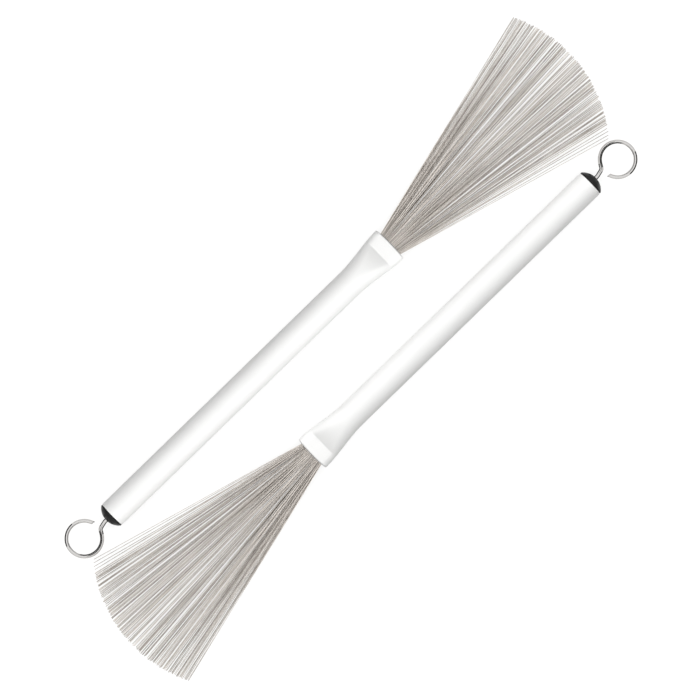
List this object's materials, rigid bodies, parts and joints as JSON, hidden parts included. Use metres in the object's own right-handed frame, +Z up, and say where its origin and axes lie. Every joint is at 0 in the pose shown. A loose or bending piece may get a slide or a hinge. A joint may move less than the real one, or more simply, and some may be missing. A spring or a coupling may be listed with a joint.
{
  "type": "wire drum brushes",
  "caption": "Retractable wire drum brushes, head to tail: white handles with flat mouths, wide fans of fine wires, black domed caps and steel pull rods ending in open eyes.",
  "frame": {"origin": "on the table, midway between the two brushes", "axes": "+X the way brush A's wires point, +Y from brush B to brush A, +Z up"},
  "size_m": [0.3572, 0.1212, 0.014],
  "materials": {
    "white_vinyl": "smooth, semi-gloss",
    "tube_aluminium": "drawn, satin",
    "cap_black": "moulded, soft sheen",
    "bush_plastic": "turned acetal",
    "washer_felt": "pressed felt",
    "rod_steel": "nickel plated, bright",
    "ferrule_steel": "turned",
    "ring_rubber": "moulded",
    "wire_steel": "drawn spring wire"
  },
  "bodies": {
    "handle_a": {"grip_sleeve_a": "white_vinyl", "handle_tube_a": "tube_aluminium", "end_cap_a": "cap_black", "guide_bush_a": "bush_plastic", "bumper_washer_a": "washer_felt"},
    "handle_b": {"grip_sleeve_b": "white_vinyl", "handle_tube_b": "tube_aluminium", "end_cap_b": "cap_black", "guide_bush_b": "bush_plastic", "bumper_washer_b": "washer_felt"},
    "rod_a": {"pull_rod_a": "rod_steel", "wire_ferrule_a": "ferrule_steel", "rod_anchor_a": "ferrule_steel", "friction_ring_a": "ring_rubber", "wire_fan_a": "wire_steel"},
    "rod_b": {"pull_rod_b": "rod_steel", "wire_ferrule_b": "ferrule_steel", "rod_anchor_b": "ferrule_steel", "friction_ring_b": "ring_rubber", "wire_fan_b": "wire_steel"}
  },
  "joints": [
    {"name": "draw_in_a", "type": "slide", "parent": "handle_a", "child": "rod_a", "axis": [-1, 0, 0], "range_m": [0, 0.138], "deforming": ["wire_fan_a"]},
    {"name": "draw_in_b", "type": "slide", "parent": "handle_b", "child": "rod_b", "axis": [1, 0, 0], "range_m": [0, 0.138], "deforming": ["wire_fan_b"]},
    {"name": "lift_brush_b", "type": "slide", "parent": "handle_a", "child": "handle_b", "axis": [0, 0, 1], "range_m": [0, 0.1]}
  ]
}
